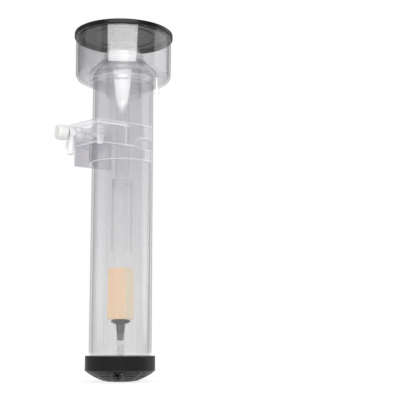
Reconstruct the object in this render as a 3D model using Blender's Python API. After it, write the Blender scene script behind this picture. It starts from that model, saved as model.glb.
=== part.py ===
"""Protein skimmer for a small marine tank: clear contact tube, foam cup with lid, strainer base,
wooden air stone, and a clip-on hanger that carries the air valve.

Lengths below are in millimetres and are turned into metres where a mesh is made.
+Z is up the tube. The origin is the centre of the flat foot. The hanger's back and front plates
run along X, and its side plate and the air valve are on the -X side.
"""

from math import cos, pi, radians, sin

import bmesh
import bpy
from mathutils import Matrix, Vector

METRE = 0.001
GAP = 0.3
ROUND_LARGE = 36
ROUND_MEDIUM = 24
ROUND_SMALL = 16

# Tube
TUBE_R = 25.0
TUBE_BORE_R = 23.2
TUBE_BOTTOM = 10.8
TUBE_TOP = 250.4

# Base cap: a band round the tube over a shallow strainer dome
CAP_R = 28.0
CAP_TOP = 20.3
CAP_LEDGE = 10.5
DOME_TOP = 8.5
FOOT_R = 10.3
DOME_WALL = 2.0
DOME_STEPS = 5
SLOT_RADII = (12.6, 16.4, 20.2)
SLOT_WIDTH = 2.0
SLOTS_ROUND = 8
SLOT_RIB_DEG = 9.0
PORT_DEG = -123.0
PORT_Z = 5.1
PORT_R = 4.3
PORT_BORE_R = 3.0
PORT_END = 25.2
POST_R = 3.5

# Air line inside the tube
AIR_BORE_R = 1.2
NIPPLE_R = 3.3
NIPPLE_TOP = 24.0
SLEEVE_WALL = 0.8
SLEEVE_TOP = 38.0
BARB_TIP = 32.4
BARB_TIP_R = 2.35
BARB_ROOT = 45.2
BARB_ROOT_R = 3.75
FLANGE_R = 8.0
FLANGE_TOP = 48.9
BLOCK_SIDE = 16.0
BLOCK_BOTTOM = 49.2
BLOCK_TOP = 90.4
BLOCK_TURN = 35.0
PEG_R = 4.0
PEG_TOP = 60.0

# Inner tubes
LOWER_R = 8.3
LOWER_BORE_R = 7.3
LOWER_BOTTOM = 104.0
LOWER_TOP = 161.7
UPPER_R = 5.8
UPPER_BORE_R = 4.8
UPPER_BOTTOM = 157.0
UPPER_TOP = 227.3

# Neck and its spider
NECK_BOTTOM = 233.0
NECK_R = 14.55
NECK_WALL = 1.25
NECK_CONE = 270.0
NECK_TOP = 277.6
NECK_TOP_R = 11.3
NECK_RING_R = 16.6
SPIDER_R = 12.6
SPIDER_ARMS = 3

# Foam cup
CUP_TOP_R = 39.6
CUP_LOW_R = 38.8
CUP_WALL = 1.8
CUP_BOTTOM = 246.0
CUP_RIM = 283.9
CUP_CORNER_R = 6.0
SKIRT_R = 27.6
SKIRT_BOTTOM = 242.0
SOCKET_R = 25.35
DRAIN_DISTANCE = 31.0
DRAIN_DEG = -56.0
DRAIN_R = 2.45
DRAIN_BOTTOM = 232.0

# Lid
LID_R = 40.9
LID_TOP = 286.4
LID_UNDER = 284.2
LID_SKIRT = 281.9

# Hanger
CLIP_BOTTOM = 175.5
BOX_BOTTOM = 186.2
HANGER_TOP = 204.8
CLIP_LINE_R = 26.3
CLIP_WALL = 2.0
CLIP_START_DEG = 84.0
CLIP_END_DEG = -58.0
PLATE_WALL = 1.9
BACK_PLATE_X = (1.0, -30.6)
BOX_CORNER = (-35.5, -26.28)
BOX_BACK = (-44.4, 10.8)
BOX_JOIN_X = -24.2
LIP_WALL = 3.6
LIP_HEIGHT = 2.9
CLIP_SLOT_R = 4.25
CLIP_SLOT_Z = 189.2
CLIP_SLOT_DEG = -84.0

# Air valve, along X through (VALVE_Y, VALVE_Z)
VALVE_Y = -1.0
VALVE_Z = 196.0
BOSS_OUT_X = -43.9
BOSS_IN_X = -29.6
BOSS_R = 5.5
BOSS_BORE_R = 2.95
DUCT_END = (-29.5, -18.0)
DUCT_R = 2.6
HOSE_NIPPLE_R = 2.65
HOSE_NIPPLE_BOTTOM = 187.0
HOSE_NIPPLE_TOP = 201.0
BODY_R = 4.0
BODY_IN_X = -44.2
BODY_OUT_X = -49.6
INLET_X = -46.9
INLET_R = 2.45
INLET_LENGTH = 13.2
OUTLET_R = 2.6
OUTLET_TIP_R = 2.15
OUTLET_END_X = -33.0
GASKET_X = (-50.3, -49.9)
BONNET_X = (-56.6, -50.6)
BONNET_R = 3.9
KNOB_X = (-59.3, -50.8)
KNOB_R = 6.25
KNOB_BORE_R = 4.35
KNOB_WALL = 1.5
NEEDLE_R = 1.1


def clear_scene():
    for obj in list(bpy.data.objects):
        bpy.data.objects.remove(obj, do_unlink=True)


def plastic(name, colour, roughness, alpha=1.0, metallic=0.0):
    material = bpy.data.materials.new(name)
    material.use_nodes = True
    shader = material.node_tree.nodes["Principled BSDF"]
    shader.inputs["Base Color"].default_value = (*colour, 1.0)
    shader.inputs["Roughness"].default_value = roughness
    shader.inputs["Metallic"].default_value = metallic
    shader.inputs["Alpha"].default_value = alpha
    return material


def empty(name, location=(0, 0, 0), rotation=(0, 0, 0)):
    """A joint's axis, which the pieces that move with it are parented to."""
    holder = bpy.data.objects.new(name, None)
    holder.location = Vector(location) * METRE
    holder.rotation_euler = rotation
    bpy.context.scene.collection.objects.link(holder)
    return holder


def finish(name, mesh, material=None, parent=None, smooth=True):
    """Makes an object from a bmesh in millimetres. With no material it is a cutter."""
    bmesh.ops.recalc_face_normals(mesh, faces=mesh.faces)
    bmesh.ops.scale(mesh, vec=(METRE,) * 3, verts=mesh.verts)
    data = bpy.data.meshes.new(name)
    mesh.to_mesh(data)
    mesh.free()
    obj = bpy.data.objects.new(name, data)
    bpy.context.scene.collection.objects.link(obj)
    obj.parent = parent
    if material:
        data.materials.append(material)
        if smooth:
            data.shade_smooth()
            data.set_sharp_from_angle(angle=radians(35))
    else:
        obj.hide_render = True
        obj.display_type = "WIRE"
    return obj


def combine(obj, operation, tool):
    """Cuts a tool from an object, or joins it on. The tool is hidden and isn't a piece."""
    modifier = obj.modifiers.new(tool.name, "BOOLEAN")
    modifier.operation = operation
    modifier.solver = "EXACT"
    modifier.object = tool
    return obj


def revolve(outline, segments):
    """Turns a closed outline of (radius, height) points about Z."""
    mesh = bmesh.new()
    rings = []
    for radius, height in outline:
        if radius < 1e-6:
            rings.append([mesh.verts.new((0, 0, height))] * segments)
            continue
        angles = [2 * pi * step / segments for step in range(segments)]
        rings.append([mesh.verts.new((radius * cos(a), radius * sin(a), height)) for a in angles])
    for ring, after in zip(rings, rings[1:] + rings[:1]):
        for step in range(segments):
            follow = (step + 1) % segments
            corners = [ring[step], ring[follow], after[follow], after[step]]
            corners = list(dict.fromkeys(corners))
            if len(corners) > 2:
                mesh.faces.new(corners)
    return mesh


def pipe(outer, inner, bottom, top, segments):
    return revolve([(inner, bottom), (outer, bottom), (outer, top), (inner, top)], segments)


def rod(radius, start, end, segments):
    """A solid cylinder between two points."""
    start, end = Vector(start), Vector(end)
    along = end - start
    mesh = revolve([(0, 0), (radius, 0), (radius, along.length), (0, along.length)], segments)
    turn = along.to_track_quat("Z", "Y").to_matrix().to_4x4()
    mesh.transform(Matrix.Translation(start) @ turn)
    return mesh


def prism(points, bottom, top):
    """Extrudes a plan outline between two heights."""
    mesh = bmesh.new()
    lower = [mesh.verts.new((x, y, bottom)) for x, y in points]
    upper = [mesh.verts.new((x, y, top)) for x, y in points]
    mesh.faces.new(lower)
    mesh.faces.new(upper)
    for i, _ in enumerate(points):
        j = (i + 1) % len(points)
        mesh.faces.new([lower[i], lower[j], upper[j], upper[i]])
    return mesh


def strip(path, thickness):
    """The outline of a wall that follows a centre line, with mitred corners."""
    path = [Vector(point) for point in path]
    left, right = [], []
    for i, point in enumerate(path):
        before = (point - path[i - 1]).normalized() if i else (path[1] - point).normalized()
        after = (path[i + 1] - point).normalized() if i + 1 < len(path) else before
        across = (Vector((-before.y, before.x)) + Vector((-after.y, after.x))).normalized()
        reach = thickness / 2 / across.dot(Vector((-before.y, before.x)))
        left.append(tuple(point + across * reach))
        right.append(tuple(point - across * reach))
    return left + right[::-1]


def arc(radius, start_deg, end_deg, steps, centre=(0.0, 0.0)):
    angles = [radians(start_deg + (end_deg - start_deg) * i / steps) for i in range(steps + 1)]
    return [(centre[0] + radius * cos(a), centre[1] + radius * sin(a)) for a in angles]


def dome_height(radius):
    """The strainer dome's outer surface, a paraboloid from the foot to the band."""
    return DOME_TOP * (radius**2 - FOOT_R**2) / (CAP_R**2 - FOOT_R**2)


def polar(distance, degrees, height):
    return (distance * cos(radians(degrees)), distance * sin(radians(degrees)), height)


def make_base(paint, parent):
    radii = [FOOT_R + (CAP_R - FOOT_R) * i / DOME_STEPS for i in range(DOME_STEPS + 1)]
    ledge_in = TUBE_BORE_R - 0.4
    inner_radii = [ledge_in + (FOOT_R - ledge_in) * i / DOME_STEPS for i in range(DOME_STEPS + 1)]
    ring_in = POST_R + GAP
    outline = [(0, 0)] + [(r, dome_height(r)) for r in radii]
    outline += [(CAP_R, CAP_TOP - 0.6), (CAP_R - 0.6, CAP_TOP), (SOCKET_R, CAP_TOP)]
    outline += [(SOCKET_R, CAP_LEDGE), (ledge_in, CAP_LEDGE)]
    outline += [(r, dome_height(r) + DOME_WALL) for r in inner_radii]
    outline += [(ring_in + 1.4, DOME_WALL), (ring_in + 1.4, 5.5), (ring_in, 5.5)]
    outline += [(ring_in, DOME_WALL), (0, DOME_WALL)]
    cap = finish("base_cap", revolve(outline, ROUND_LARGE), paint["black"], parent)

    boss = finish("base_port_boss", rod(PORT_R, polar(14, PORT_DEG, PORT_Z),
                                        polar(PORT_END, PORT_DEG, PORT_Z), ROUND_SMALL), None, parent)
    combine(cap, "UNION", boss)
    bore = finish("base_port_bore", rod(PORT_BORE_R, (0, 0, PORT_Z),
                                        polar(CAP_R + 2, PORT_DEG, PORT_Z), ROUND_SMALL), None, parent)
    combine(cap, "DIFFERENCE", bore)

    pitch = 360 / SLOTS_ROUND
    for number, radius in enumerate(SLOT_RADII):
        for i in range(SLOTS_ROUND):
            first = PORT_DEG + (i + 0.5) * pitch + SLOT_RIB_DEG / 2 - pitch / 2
            start, end = first, first + pitch - SLOT_RIB_DEG
            clear = 18.0 if radius < SLOT_RADII[-1] else 14.0
            if i == 0:
                start = PORT_DEG + clear
            if i == SLOTS_ROUND - 1:
                end = PORT_DEG + 360 - clear
            outline = arc(radius, start, end, 3) + arc(radius + SLOT_WIDTH, end, start, 3)
            slot = finish(f"slot_{number}_{i}", prism(outline, -1, CAP_LEDGE - 0.5), None, parent)
            combine(cap, "DIFFERENCE", slot)
    return cap


def make_air_line(paint, parent):
    """The elbow in the base, its nipple and the soft sleeve up to the stone's barb."""
    post = [(0, DOME_WALL + GAP), (POST_R, DOME_WALL + GAP), (POST_R, CAP_TOP + 0.2), (0, CAP_TOP + 0.2)]
    elbow = finish("base_elbow", revolve(post, ROUND_SMALL), paint["black"], parent)
    arm = rod(PORT_BORE_R - GAP, (0, 0, PORT_Z), polar(PORT_END - 2, PORT_DEG, PORT_Z), ROUND_SMALL)
    combine(elbow, "UNION", finish("elbow_arm", arm, None, parent))
    riser = rod(AIR_BORE_R + 0.3, (0, 0, PORT_Z - 0.8), (0, 0, CAP_TOP + 2), ROUND_SMALL)
    combine(elbow, "DIFFERENCE", finish("elbow_riser", riser, None, parent))
    feed = rod(AIR_BORE_R + 0.2, (0, 0, PORT_Z), polar(CAP_R, PORT_DEG, PORT_Z), ROUND_SMALL)
    combine(elbow, "DIFFERENCE", finish("elbow_feed", feed, None, parent))

    foot = CAP_TOP + 0.5
    nipple = [(AIR_BORE_R, foot), (NIPPLE_R, foot), (NIPPLE_R, NIPPLE_TOP - 0.4)]
    nipple += [(NIPPLE_R - 0.4, NIPPLE_TOP), (1.9, NIPPLE_TOP), (2.05, 26.0), (1.7, 29.0), (AIR_BORE_R, 29.0)]
    finish("base_nipple", revolve(nipple, ROUND_SMALL), paint["clear"], parent)

    bottom = NIPPLE_TOP + GAP
    flare = BARB_ROOT_R - BARB_TIP_R
    top_r = BARB_TIP_R + flare * (SLEEVE_TOP - BARB_TIP) / (BARB_ROOT - BARB_TIP) + GAP
    inner = [(top_r, SLEEVE_TOP), (BARB_TIP_R + GAP, BARB_TIP), (2.35, bottom)]
    outer = [(2.35 + SLEEVE_WALL, bottom), (BARB_TIP_R + GAP + SLEEVE_WALL, BARB_TIP)]
    outer += [(top_r + SLEEVE_WALL, SLEEVE_TOP)]
    finish("connector_sleeve", revolve(inner + outer, ROUND_SMALL), paint["clear"], parent)


def make_air_stone(paint, parent):
    outline = [(AIR_BORE_R, BARB_TIP), (BARB_TIP_R, BARB_TIP), (BARB_ROOT_R, BARB_ROOT)]
    outline += [(FLANGE_R, 47.3), (6.4, FLANGE_TOP), (PEG_R, FLANGE_TOP), (PEG_R, PEG_TOP)]
    outline += [(AIR_BORE_R, PEG_TOP)]
    finish("airstone_fitting", revolve(outline, ROUND_SMALL + 4), paint["brown"], parent)

    half = BLOCK_SIDE / 2
    corners = [(-half, -half), (half, -half), (half, half), (-half, half)]
    block = prism(corners, BLOCK_BOTTOM, BLOCK_TOP)
    edges = [e for e in block.edges if abs(e.verts[0].co.z - e.verts[1].co.z) > 1]
    bmesh.ops.bevel(block, geom=edges, offset=0.6, segments=2, affect="EDGES")
    bmesh.ops.rotate(block, cent=(0, 0, 0), matrix=Matrix.Rotation(radians(BLOCK_TURN), 3, "Z"),
                     verts=block.verts)
    block = finish("airstone_block", block, paint["wood"], parent)
    socket = rod(PEG_R + GAP, (0, 0, BLOCK_BOTTOM - 1), (0, 0, PEG_TOP + 0.6), ROUND_SMALL)
    combine(block, "DIFFERENCE", finish("stone_socket", socket, None, parent))


def make_inner_tubes(paint, parent):
    finish("inner_tube_lower", pipe(LOWER_R, LOWER_BORE_R, LOWER_BOTTOM, LOWER_TOP, ROUND_MEDIUM),
           paint["clear"], parent)
    finish("inner_tube_upper", pipe(UPPER_R, UPPER_BORE_R, UPPER_BOTTOM, UPPER_TOP, ROUND_MEDIUM),
           paint["clear"], parent)
    bore, plug = UPPER_R + GAP, LOWER_BORE_R - GAP
    outline = [(bore, 155.5), (plug, 155.5), (plug, LOWER_TOP + GAP), (LOWER_R, LOWER_TOP + GAP)]
    outline += [(LOWER_R, 163.0), (LOWER_R - 0.6, 163.6), (bore, 163.6)]
    finish("inner_tube_reducer", revolve(outline, ROUND_MEDIUM), paint["clear"], parent)

    nose = [(UPPER_R - 0.4 - 1.6 * (1 - cos(radians(a))), 231.4 - 2.4 * sin(radians(a)))
            for a in (90, 60, 30, 0)]
    outline = [(2.6, 218.0), (UPPER_BORE_R - GAP, 218.0), (UPPER_BORE_R - GAP, 229.0)]
    outline += nose[1:] + [(UPPER_R - 0.4, 250.0), (UPPER_R - 1.4, 252.5), (2.6, 252.5)]
    spigot = finish("neck_spider", revolve(outline, ROUND_MEDIUM), paint["clear"], parent)
    rim = finish("spider_rim", pipe(SPIDER_R, SPIDER_R - 1.2, 238.0, 244.0, ROUND_MEDIUM), None, parent)
    combine(spigot, "UNION", rim)
    for i in range(SPIDER_ARMS):
        arm = prism([(4.4, -0.8), (SPIDER_R - 0.6, -0.8), (SPIDER_R - 0.6, 0.8), (4.4, 0.8)], 239.0, 243.0)
        bmesh.ops.rotate(arm, cent=(0, 0, 0), verts=arm.verts,
                         matrix=Matrix.Rotation(2 * pi * (i + 0.13) / SPIDER_ARMS, 3, "Z"))
        combine(spigot, "UNION", finish(f"spider_arm_{i}", arm, None, parent))


def make_neck(paint, parent):
    cone = [(NECK_R, NECK_CONE), (NECK_TOP_R, NECK_TOP - 0.5), (NECK_TOP_R - 0.5, NECK_TOP)]
    outline = [(NECK_R - NECK_WALL, NECK_BOTTOM), (NECK_R - 0.3, NECK_BOTTOM), (NECK_R, 236.0)]
    outline += cone + [(NECK_TOP_R - NECK_WALL, NECK_TOP), (NECK_R - NECK_WALL, NECK_CONE)]
    finish("riser_neck", revolve(outline, ROUND_LARGE), paint["clear"], parent)
    outline = [(NECK_R + GAP, 264.1), (NECK_RING_R, 264.1), (NECK_RING_R, 265.2)]
    outline += [(NECK_RING_R - 0.7, 265.8), (NECK_RING_R - 0.7, 266.6), (NECK_RING_R, 267.2)]
    outline += [(NECK_RING_R, 268.0), (NECK_R + GAP, 268.6)]
    finish("neck_ring", revolve(outline, ROUND_LARGE), paint["clear"], parent)


def make_cup(paint, parent):
    """Wall, rounded corner, socket skirt and the raised floor that closes onto the neck."""
    corner_at = (CUP_LOW_R - CUP_CORNER_R, CUP_BOTTOM + CUP_CORNER_R)
    corner = arc(CUP_CORNER_R, 0, -90, 4, corner_at)
    inside = arc(CUP_CORNER_R - CUP_WALL, -90, 0, 3, corner_at)
    hole = NECK_R + GAP
    socket_top = TUBE_TOP + 0.5
    outline = [(CUP_TOP_R, CUP_RIM)] + corner + [(SKIRT_R, CUP_BOTTOM), (SKIRT_R, SKIRT_BOTTOM)]
    outline += [(SOCKET_R, SKIRT_BOTTOM), (SOCKET_R, socket_top), (TUBE_BORE_R + 0.2, socket_top)]
    outline += [(22.6, 254.2), (19.6, 257.4), (17.3, 260.2), (hole, 261.6), (hole, 263.8)]
    outline += [(16.5, 263.5), (18.8, 262.0), (21.2, 259.4), (24.0, 256.8), (27.0, 254.4)]
    outline += [(28.4, 251.6), (29.2, CUP_BOTTOM + CUP_WALL)] + inside
    outline += [(CUP_TOP_R - CUP_WALL, CUP_RIM)]
    cup = finish("cup_shell", revolve(outline, ROUND_LARGE), paint["clear"], parent)
    at = polar(DRAIN_DISTANCE, DRAIN_DEG, CUP_BOTTOM - 1)
    above = polar(DRAIN_DISTANCE, DRAIN_DEG, CUP_BOTTOM + 8)
    drain = finish("drain_hole", rod(1.5, at, above, 12), None, parent)
    combine(cup, "DIFFERENCE", drain)

    top = CUP_BOTTOM - GAP
    outline = [(1.5, DRAIN_BOTTOM + 0.6), (1.9, DRAIN_BOTTOM), (2.2, DRAIN_BOTTOM + 0.2)]
    outline += [(DRAIN_R, DRAIN_BOTTOM + 1.2), (DRAIN_R, top - 1.4), (3.2, top - 1.0), (3.2, top)]
    outline += [(1.5, top)]
    nipple = finish("drain_nipple", revolve(outline, ROUND_SMALL), paint["clear"], parent)
    nipple.location = Vector(polar(DRAIN_DISTANCE, DRAIN_DEG, 0)) * METRE


def make_lid(paint, parent):
    outline = [(0, LID_TOP), (0, LID_UNDER), (25.4, LID_UNDER), (25.4, LID_UNDER - 0.7)]
    outline += [(26.6, LID_UNDER - 0.7), (26.6, LID_UNDER), (36.2, LID_UNDER), (36.2, 282.4)]
    outline += [(37.2, 282.4), (37.2, LID_UNDER), (40.0, LID_UNDER), (40.0, LID_SKIRT)]
    outline += [(LID_R, LID_SKIRT), (LID_R, LID_TOP - 0.8), (LID_R - 0.8, LID_TOP)]
    finish("lid", revolve(outline, ROUND_LARGE), paint["lid_black"], parent)


def make_hanger(paint, parent):
    clip_path = arc(CLIP_LINE_R, CLIP_START_DEG, 360 + CLIP_END_DEG, 28)
    clip = prism(strip(clip_path, CLIP_WALL), CLIP_BOTTOM, HANGER_TOP)
    hanger = finish("hanger", clip, paint["clear"], parent)
    back = [(x, -BOX_CORNER[1]) for x in BACK_PLATE_X]
    plate = prism(strip(back, PLATE_WALL), CLIP_BOTTOM + 0.01, HANGER_TOP - 0.03)
    combine(hanger, "UNION", finish("hanger_back_plate", plate, None, parent))

    join = (BOX_JOIN_X, BOX_BACK[1])
    walls = prism(strip([(-1.0, BOX_CORNER[1]), BOX_CORNER, BOX_BACK, join], PLATE_WALL),
                  BOX_BOTTOM, HANGER_TOP - 0.01)
    combine(hanger, "UNION", finish("hanger_walls", walls, None, parent))
    lip = prism(strip([(-8.0, BOX_CORNER[1]), BOX_CORNER, BOX_BACK, join], LIP_WALL),
                HANGER_TOP - LIP_HEIGHT, HANGER_TOP - 0.02)
    combine(hanger, "UNION", finish("hanger_lip", lip, None, parent))

    hole = rod(BOSS_R + GAP, (BOSS_OUT_X - 4, VALVE_Y, VALVE_Z), (-36.0, VALVE_Y, VALVE_Z), ROUND_MEDIUM)
    combine(hanger, "DIFFERENCE", finish("hanger_valve_hole", hole, None, parent))
    combine(hanger, "DIFFERENCE", finish("hanger_slot", clip_slot(), None, parent))


def clip_slot():
    """The clip's open-ended slot, a rounded outline wrapped round the tube."""
    half_turn = [(CLIP_SLOT_R * cos(radians(a)), CLIP_SLOT_R * sin(radians(a))) for a in range(90, 271, 20)]
    reach = CLIP_LINE_R * radians(CLIP_END_DEG - CLIP_SLOT_DEG + 8)
    outline = [(reach, CLIP_SLOT_R)] + half_turn + [(reach, -CLIP_SLOT_R)]
    mesh = bmesh.new()
    walls = []
    for radius in (CLIP_LINE_R - 2.6, CLIP_LINE_R + 4.5):
        turned = [(radians(CLIP_SLOT_DEG) + along / CLIP_LINE_R, up) for along, up in outline]
        points = [(radius * cos(a), radius * sin(a), CLIP_SLOT_Z + up) for a, up in turned]
        walls.append([mesh.verts.new(point) for point in points])
    inner, outer = walls
    mesh.faces.new(inner)
    mesh.faces.new(outer)
    for i, _ in enumerate(outline):
        j = (i + 1) % len(outline)
        mesh.faces.new([inner[i], inner[j], outer[j], outer[i]])
    bmesh.ops.triangulate(mesh, faces=mesh.faces)
    return mesh


def make_valve_socket(paint, parent):
    """The boss in the side plate, its duct and the nipple that the inner hose pushes onto."""
    start, end = (BOSS_OUT_X, VALVE_Y, VALVE_Z), (BOSS_IN_X, VALVE_Y, VALVE_Z)
    socket = finish("valve_socket", rod(BOSS_R, start, end, ROUND_MEDIUM), paint["clear"], parent)
    root = (-33.5, VALVE_Y, VALVE_Z)
    column = (*DUCT_END, VALVE_Z)
    combine(socket, "UNION", finish("duct", rod(DUCT_R, root, column, ROUND_SMALL), None, parent))
    collar_r = HOSE_NIPPLE_R + GAP + 1.1
    collar = rod(collar_r, (*DUCT_END, VALVE_Z - 3.4), (*DUCT_END, VALVE_Z + 3.4), ROUND_SMALL)
    combine(socket, "UNION", finish("duct_collar", collar, None, parent))
    bore = rod(BOSS_BORE_R, (BOSS_OUT_X - 2, VALVE_Y, VALVE_Z), (BOSS_IN_X - 1.5, VALVE_Y, VALVE_Z),
               ROUND_SMALL)
    combine(socket, "DIFFERENCE", finish("boss_bore", bore, None, parent))
    passage = rod(AIR_BORE_R, (-32.9, VALVE_Y, VALVE_Z), column, 12)
    combine(socket, "DIFFERENCE", finish("duct_bore", passage, None, parent))
    seat = rod(HOSE_NIPPLE_R + GAP, (*DUCT_END, VALVE_Z - 5), (*DUCT_END, VALVE_Z + 5), ROUND_SMALL)
    combine(socket, "DIFFERENCE", finish("column_bore", seat, None, parent))

    outline = [(1.5, HOSE_NIPPLE_BOTTOM), (HOSE_NIPPLE_R - 0.3, HOSE_NIPPLE_BOTTOM)]
    outline += [(HOSE_NIPPLE_R, HOSE_NIPPLE_BOTTOM + 0.6), (HOSE_NIPPLE_R, HOSE_NIPPLE_TOP - 0.8)]
    outline += [(HOSE_NIPPLE_R - 0.8, HOSE_NIPPLE_TOP), (0, HOSE_NIPPLE_TOP), (0, HOSE_NIPPLE_TOP - 1.6)]
    outline += [(1.5, HOSE_NIPPLE_TOP - 1.6)]
    nipple = finish("hanger_nipple", revolve(outline, ROUND_SMALL), paint["clear"], parent)
    nipple.location = Vector((*DUCT_END, 0)) * METRE
    side = rod(0.9, (0, 0, VALVE_Z), (-6, 0, VALVE_Z), 12)
    feed = finish("nipple_feed", side, None, parent)
    feed.location = nipple.location
    combine(nipple, "DIFFERENCE", feed)


def valve_part(name, outline, material, parent, segments=ROUND_MEDIUM):
    """Turns an outline of (radius, X) points; the parent's Z is the valve's axis, along +X."""
    return finish(name, revolve([(r, x - BODY_IN_X) for r, x in outline], segments), material, parent)


def make_valve(paint, body_axis, needle_axis, knob_axis):
    chamber_r, seat_x = 1.7, BODY_IN_X - 0.8
    outline = [(chamber_r, BODY_OUT_X), (BODY_R - 0.3, BODY_OUT_X), (BODY_R, BODY_OUT_X + 0.3)]
    outline += [(BODY_R, BODY_IN_X - 0.8), (BODY_R - 0.8, BODY_IN_X), (OUTLET_R, BODY_IN_X)]
    outline += [(OUTLET_TIP_R, OUTLET_END_X - 0.4), (OUTLET_TIP_R - 0.4, OUTLET_END_X)]
    outline += [(AIR_BORE_R, OUTLET_END_X), (AIR_BORE_R, seat_x), (chamber_r, seat_x)]
    body = valve_part("valve_body", outline, paint["milky"], body_axis)
    drop = BODY_R + INLET_LENGTH
    inlet_at = INLET_X - BODY_IN_X
    inlet = rod(INLET_R, (chamber_r + 0.6, 0, inlet_at), (drop, 0, inlet_at), ROUND_SMALL)
    combine(body, "UNION", finish("inlet_rod", inlet, None, body_axis))
    bore = rod(1.3, (1.0, 0, inlet_at), (drop + 2, 0, inlet_at), 12)
    combine(body, "DIFFERENCE", finish("inlet_bore", bore, None, body_axis))

    low, high = GASKET_X
    valve_part("valve_gasket", [(1.9, low), (BODY_R - 0.1, low), (BODY_R - 0.1, high), (1.9, high)],
               paint["grey"], body_axis)
    low, high = BONNET_X
    valve_part("valve_bonnet", [(NEEDLE_R + 0.3, low), (BONNET_R - 0.4, low), (BONNET_R, low + 0.4),
                                (BONNET_R, high), (NEEDLE_R + 0.3, high)], paint["clear"], body_axis)

    head = KNOB_X[0] + KNOB_WALL + GAP
    tip = seat_x + 1.2
    valve_part("valve_needle", [(0, head), (2.8, head), (2.8, BONNET_X[0] - GAP), (NEEDLE_R, BONNET_X[0] - GAP),
                                (NEEDLE_R, seat_x - 0.3), (0.3, tip), (0, tip)],
               paint["milky"], needle_axis, ROUND_SMALL)

    front, rear = KNOB_X
    face = [(0, front + 0.5), (2.4, front + 0.5), (2.8, front + 0.1), (3.6, front)]
    shoulder = [(KNOB_R - 1.9 + 1.9 * sin(radians(a)), front + 1.9 - 1.9 * cos(radians(a)))
                for a in (0, 30, 60, 90)]
    skirt = [(KNOB_R, rear - 1.6), (KNOB_R - 0.9, rear), (KNOB_BORE_R, rear)]
    cavity = [(KNOB_BORE_R, front + KNOB_WALL), (0, front + KNOB_WALL)]
    valve_part("valve_knob", face + shoulder + skirt + cavity, paint["white"], knob_axis)


def main():
    clear_scene()
    paint = {
        "clear": plastic("clear_acrylic", (0.80, 0.81, 0.83), 0.08, alpha=0.35),
        "black": plastic("black_abs", (0.02, 0.02, 0.022), 0.38),
        "lid_black": plastic("black_gloss", (0.015, 0.015, 0.017), 0.10),
        "brown": plastic("brown_plastic", (0.06, 0.035, 0.03), 0.45),
        "wood": plastic("limewood", (0.88, 0.66, 0.46), 0.85),
        "milky": plastic("milky_nylon", (0.86, 0.86, 0.90), 0.35, alpha=0.8),
        "white": plastic("white_pp", (0.92, 0.92, 0.90), 0.45),
        "grey": plastic("grey_rubber", (0.42, 0.44, 0.50), 0.6),
    }
    tube_axis = empty("tube_axis")
    cup_axis = empty("cup_axis", (0, 0, SKIRT_BOTTOM))
    lid_axis = empty("lid_axis", (0, 0, CUP_RIM))
    base_axis = empty("base_axis", (0, 0, CAP_TOP))
    stone_axis = empty("stone_axis", (0, 0, BARB_TIP))
    for axis in (cup_axis, lid_axis, base_axis, stone_axis):
        axis.parent = tube_axis
    along_x = (0, radians(90), 0)
    valve_at = (BODY_IN_X, VALVE_Y, VALVE_Z)
    valve_axis = empty("valve_axis", valve_at, along_x)
    needle_axis = empty("needle_axis", valve_at, along_x)
    knob_axis = empty("knob_axis", valve_at, along_x)

    finish("main_tube", pipe(TUBE_R, TUBE_BORE_R, TUBE_BOTTOM, TUBE_TOP, ROUND_LARGE),
           paint["clear"], tube_axis)
    make_base(paint, base_axis)
    make_air_line(paint, base_axis)
    make_air_stone(paint, stone_axis)
    make_inner_tubes(paint, cup_axis)
    make_neck(paint, cup_axis)
    make_cup(paint, cup_axis)
    make_lid(paint, lid_axis)
    make_hanger(paint, None)
    make_valve_socket(paint, None)
    make_valve(paint, valve_axis, needle_axis, knob_axis)
    lower_to_axes((base_axis, stone_axis, cup_axis, lid_axis))


def lower_to_axes(axes):
    """Pieces are drawn from the foot up, so each is moved down by its axis's height."""
    for axis in axes:
        for piece in axis.children:
            piece.location.z -= axis.location.z


main()
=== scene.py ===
"""Looks for the protein skimmer: smooth pieces, plastics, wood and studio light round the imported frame.

Lengths are in millimetres and are turned into metres where a mesh is made. A piece's overall place and size
come from its CAD node's box. Heights below are above the foot, and angles are from +X towards +Y. The camera
and the lights, at the end, are in metres.
"""

from math import cos, pi, radians, sin, tan

import bmesh
import bpy
from mathutils import Matrix, Vector


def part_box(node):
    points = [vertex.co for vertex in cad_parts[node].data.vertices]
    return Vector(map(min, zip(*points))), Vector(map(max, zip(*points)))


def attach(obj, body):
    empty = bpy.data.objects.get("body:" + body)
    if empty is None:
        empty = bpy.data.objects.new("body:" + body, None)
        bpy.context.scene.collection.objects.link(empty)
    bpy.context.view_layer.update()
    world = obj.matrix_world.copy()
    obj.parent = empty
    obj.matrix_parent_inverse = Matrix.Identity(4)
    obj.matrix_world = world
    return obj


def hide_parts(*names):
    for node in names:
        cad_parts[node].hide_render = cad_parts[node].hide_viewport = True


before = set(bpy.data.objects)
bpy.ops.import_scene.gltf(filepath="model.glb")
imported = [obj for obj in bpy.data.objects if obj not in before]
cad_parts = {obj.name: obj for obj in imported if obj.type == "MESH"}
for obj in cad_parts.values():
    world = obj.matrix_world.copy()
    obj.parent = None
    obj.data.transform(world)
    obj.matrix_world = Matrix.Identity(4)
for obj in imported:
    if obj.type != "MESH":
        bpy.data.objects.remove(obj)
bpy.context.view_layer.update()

METRE = 0.001
GAP = 0.3
WELD = 0.004
SHARP_DEG = 32
ROUND_LARGE = 144
ROUND_MEDIUM = 72
ROUND_SMALL = 40
ROUND_BORE = 24

# Sizes that several pieces share
TUBE_BORE_R = 23.2
TUBE_CLEARANCE = 0.35
AIR_BORE_R = 1.2
BARB_TIP_R = 2.35


def box(node):
    """A CAD node's lowest and highest corner in millimetres."""
    low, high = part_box(node)
    return low / METRE, high / METRE


def middle(node):
    """The middle of a CAD node's box, in millimetres."""
    low, high = box(node)
    return (low + high) / 2


# ---------------------------------------------------------------- meshes


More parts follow.
